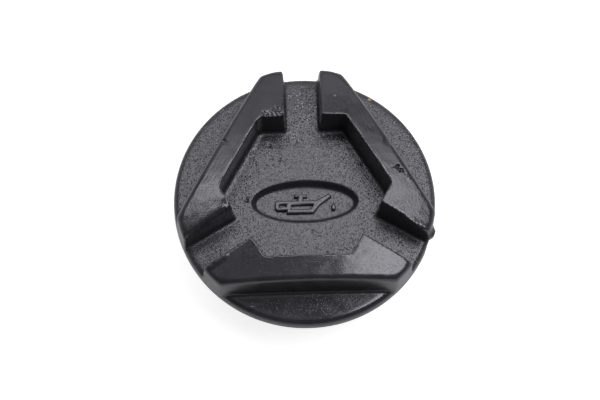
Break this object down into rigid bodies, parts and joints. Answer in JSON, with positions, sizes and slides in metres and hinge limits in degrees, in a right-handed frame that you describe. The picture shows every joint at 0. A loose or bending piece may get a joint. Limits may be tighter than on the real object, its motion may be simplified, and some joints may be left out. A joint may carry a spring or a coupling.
{
  "type": "oil filler cap",
  "caption": "Round bayonet cap with a crowned lobed grip, finger grooves, an oval emblem recess, a hollow plug with lugs and a rubber seal; closes an engine's oil filler neck.",
  "frame": {"origin": "on the cap's axis, in the plane of the rim's foot", "axes": "+Z along the axis, out through the grip; +Y along one of the finger grooves"},
  "size_m": [0.0624, 0.0624, 0.0278],
  "materials": {
    "cap": "satin, grained",
    "seal": "matte"
  },
  "bodies": {
    "root": {"cap_body": "cap", "seal_ring": "seal"}
  },
  "joints": []
}
